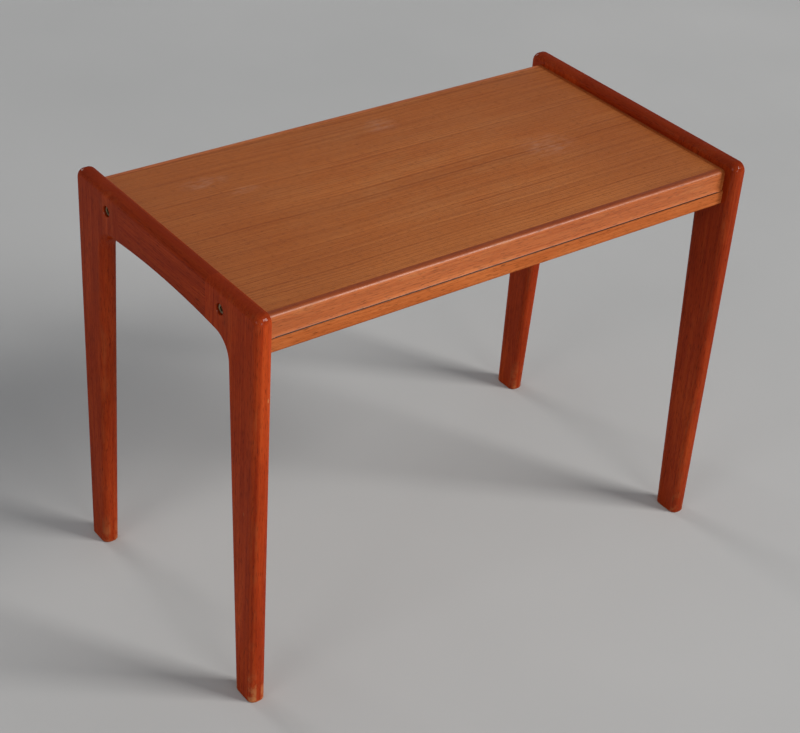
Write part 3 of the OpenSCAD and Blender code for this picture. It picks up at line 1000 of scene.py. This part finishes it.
def build_lower_strips():
    xs, screw_y, head = screw_places()
    for flip, end_name in ENDS:
        node = end_name + "_lower_strip"
        low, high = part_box(node)
        face = high.y if flip > 0 else -low.y
        strip = swept_along_x("shaped_" + node, strip_section, seam_stations(low.x, high.x),
                              lambda u: flip * (face + u), low.z)
        cut(strip, screw_holes(xs, -flip * screw_y, low.z, head))
        smooth(strip)
        pith = (flip * (face - 0.004), low.z + 0.07)
        teak = solid_teak("teak_" + node, "X", pith, EDGE_TONE, seed=9.0 + flip, figure=0.35, tilt=-0.3,
                          edge_wear=0.12, roughness=0.38, coat=0.08, coat_rough=0.20)
        place(strip, teak, "edge_teak", node)


def build_top():
    build_top_veneer()
    build_long_lippings()
    build_end_lippings()
    build_lower_strips()


# ---------------------------------------------------------------- fittings
def hexagon(radius, steps):
    """A hexagon's outline with as many points as a circle of the given steps."""
    points = []
    for k in range(steps):
        a = 2 * math.pi * k / steps
        local = (a % (math.pi / 3)) - math.pi / 6
        r = radius * math.cos(math.pi / 6) / math.cos(local)
        points.append((r * math.cos(a), r * math.sin(a)))
    return points


def socket_bolt(bm, centre, outwards):
    """Cap-head bolt with a hexagon socket. centre is under the head, outwards points away from the table."""
    length = PLACES["bolt_out"] - BOLT_HEAD_HEIGHT - PLACES["bolt_tip"]
    head, shank, socket = PLACES["head"] / 2, BOLT_SHANK_RADIUS, BOLT_SOCKET_ACROSS_CORNERS / 2
    top = BOLT_HEAD_HEIGHT
    side = Vector((0, 1, 0))
    up = outwards.cross(side)

    def ring(points, height):
        return [centre + outwards * height + side * a + up * b for a, b in points]

    def circle(radius):
        turns = (2 * math.pi * k / TURN_STEPS for k in range(TURN_STEPS))
        return [(radius * math.cos(t), radius * math.sin(t)) for t in turns]

    skin(bm, [
        # shank, from its chamfered tip to the fillet under the head
        ring(circle(shank - 0.6 * MM), -length),
        ring(circle(shank), -length + 0.6 * MM),
        ring(circle(shank), -0.3 * MM),
        ring(circle(shank + 0.3 * MM), 0),
        # head, with its edges rounded
        ring(circle(head - 0.2 * MM), 0),
        ring(circle(head), 0.2 * MM),
        ring(circle(head), top - 0.7 * MM),
        ring(circle(head - 0.25 * MM), top - 0.25 * MM),
        ring(circle(head - 0.8 * MM), top),
        # socket, from its chamfered mouth to its pointed bottom
        ring(circle(socket + 0.5 * MM), top),
        ring(hexagon(socket, TURN_STEPS), top - 0.4 * MM),
        ring(hexagon(socket, TURN_STEPS), top - BOLT_SOCKET_DEPTH),
        ring(circle(0.5 * MM), top - 3.9 * MM),
    ])


def build_bolts():
    steel = metal("bolt_steel", (0.44, 0.34, 0.20), (0.16, 0.11, 0.06), 0.34)
    under = PLACES["bolt_out"] - BOLT_HEAD_HEIGHT
    for side, side_name in SIDES:
        node = side_name + "_bolts"
        bm = bmesh.new()
        for end, _ in ENDS:
            seat = Vector((side * under, end * PLACES["bolt_y"], PLACES["bolt_z"]))
            socket_bolt(bm, seat, Vector((side, 0, 0)))
        bolts = object_from("shaped_" + node, bm)
        smooth(bolts, 35)
        place(bolts, steel, "bolt_steel", node)


def screw(bm, centre, head, length):
    """Adds a countersunk screw that points up. centre is the middle of its head's face."""
    radius, shank = head / 2, SCREW_SHANK_RADIUS
    profile = [(0, 0), (radius - 0.35 * MM, 0), (radius, 0.3 * MM), (shank, SCREW_HEAD_DEPTH),
               (shank, length - SCREW_POINT_LENGTH), (0, length)]
    turned(bm, profile, centre, Vector((0, 0, 1)), SCREW_TURN_STEPS)


def screw_slot(bm, centre, head, angle):
    """Adds the cutter for a screw's slot, turned by an angle in degrees."""
    turn = Matrix.Rotation(math.radians(angle), 3, "Z")
    half = SCREW_SLOT_WIDTH / 2
    corners = [Vector((a * head, b * half, 0)) for a, b in ((-1, -1), (1, -1), (1, 1), (-1, 1))]
    skin(bm, [[centre + turn @ c + Vector((0, 0, z)) for c in corners] for z in (-1 * MM, SCREW_SLOT_DEPTH)])


def build_screws():
    brass = metal("screw_brass", (0.50, 0.36, 0.16), (0.20, 0.13, 0.06), 0.36)
    xs, screw_y, head = screw_places()
    for flip, end_name in ENDS:
        node = end_name + "_strip_screws"
        low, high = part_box(node)
        bm, slots = bmesh.new(), bmesh.new()
        for index, x in enumerate(xs):
            centre = Vector((x, -flip * screw_y, low.z))
            screw(bm, centre, head, high.z - low.z)
            screw_slot(slots, centre, head, 25 + 67 * index)
        screws = object_from("shaped_" + node, bm)
        cut(screws, object_from("cutter", slots))
        smooth(screws, 30)
        place(screws, brass, "screw_brass", node)


def dress_carried_nodes():
    """Gives the CAD nodes that stay as they are their own materials."""
    core = raw_wood("core_wood", "X", (0.42, 0.27, 0.14), (0.62, 0.44, 0.26))
    backing = raw_wood("backing_veneer", "X", (0.27, 0.125, 0.055), (0.44, 0.235, 0.115), 0.6)
    beech = raw_wood("dowel_beech", "Y", (0.50, 0.33, 0.19), (0.68, 0.50, 0.32))
    brass = metal("nut_brass", (0.48, 0.35, 0.16), (0.18, 0.12, 0.06), 0.38)
    dressed = {
        "top_core": core, "bottom_veneer": backing,
        "left_frame_dowels": beech, "right_frame_dowels": beech,
        "left_barrel_nuts": brass, "right_barrel_nuts": brass,
    }
    for node, material in dressed.items():
        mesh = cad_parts[node].data
        if not mesh.materials:
            mesh.materials.append(material)
        for index in range(len(mesh.materials)):
            mesh.materials[index] = material


# ---------------------------------------------------------------- stage, light and camera
def build_floor():
    """A plain round floor that curves up into a backdrop all round."""
    bm = bmesh.new()
    reach, sweep, wall = 7.0, 2.5, 6.0
    curve = arc((reach, sweep), sweep, -math.pi / 2, 0, 16)
    profile = [(0, 0), (reach / 2, 0)] + curve + [(reach + sweep, wall)]
    turned(bm, profile, Vector((0, 0, 0)), Vector((0, 0, 1)), 96)
    floor = object_from("floor", bm)
    for polygon in floor.data.polygons:
        polygon.use_smooth = True
    g = Graph("floor_paint")
    darker, paler = (0.470, 0.477, 0.480), (0.510, 0.515, 0.518)
    body = g.ramp(g.noise(g.coords(), 1.6, 3.0), [(0.3, darker), (0.7, paler)])
    g.set(Base_Color=body, Roughness=0.85, Specular_IOR_Level=0.05)
    floor.data.materials.append(g.material)


def area_light(name, location, size, power, colour):
    data = bpy.data.lights.new(name, "AREA")
    data.shape = "RECTANGLE"
    data.size, data.size_y = size
    data.energy = power
    data.color = colour
    light = bpy.data.objects.new(name, data)
    light.location = location
    light.rotation_mode = "QUATERNION"
    light.rotation_quaternion = (LIGHT_AIM - Vector(location)).to_track_quat("-Z", "Y")
    bpy.context.scene.collection.objects.link(light)


def build_light():
    world = bpy.data.worlds.new("studio")
    bpy.context.scene.world = world
    world.use_nodes = True
    sky = world.node_tree.nodes["Background"]
    sky.inputs["Color"].default_value = (0.86, 0.92, 1.0, 1.0)
    sky.inputs["Strength"].default_value = 0.20
    warm, paler, palest = (1.0, 0.97, 0.93), (1.0, 0.97, 0.94), (1.0, 0.98, 0.96)
    area_light("key", location=(4.2, -5.0, 5.3), size=(2.6, 3.0), power=490, colour=warm)
    area_light("front", location=(-0.4, -6.6, 2.4), size=(2.6, 1.8), power=84, colour=paler)
    area_light("fill", location=(-6.6, -1.8, 3.0), size=(3.0, 2.6), power=70, colour=paler)
    area_light("back", location=(-0.9, 6.6, 3.0), size=(2.4, 2.0), power=128, colour=palest)


def build_camera():
    """The photo's camera, on a sphere round its aim and rolled a little."""
    bpy.context.scene.view_settings.view_transform = "Standard"
    azimuth, elevation = math.radians(CAMERA_AZIMUTH), math.radians(CAMERA_ELEVATION)
    roll = math.radians(CAMERA_ROLL)
    forward = Vector((-math.sin(azimuth) * math.cos(elevation), math.cos(azimuth) * math.cos(elevation),
                      -math.sin(elevation)))
    level = Vector((math.cos(azimuth), math.sin(azimuth), 0))
    above = level.cross(forward)
    right = math.cos(roll) * level + math.sin(roll) * above
    up = -math.sin(roll) * level + math.cos(roll) * above
    data = bpy.data.cameras.new("camera")
    data.lens = CAMERA_LENS
    data.shift_x, data.shift_y = CAMERA_SHIFT
    camera = bpy.data.objects.new("camera", data)
    turn = Matrix((right, up, -forward)).transposed()
    camera.matrix_world = Matrix.Translation(CAMERA_AIM - CAMERA_DISTANCE * forward) @ turn.to_4x4()
    bpy.context.scene.collection.objects.link(camera)
    bpy.context.scene.camera = camera


build_end_frames()
build_top()
build_bolts()
build_screws()
dress_carried_nodes()
build_floor()
build_light()
build_camera()
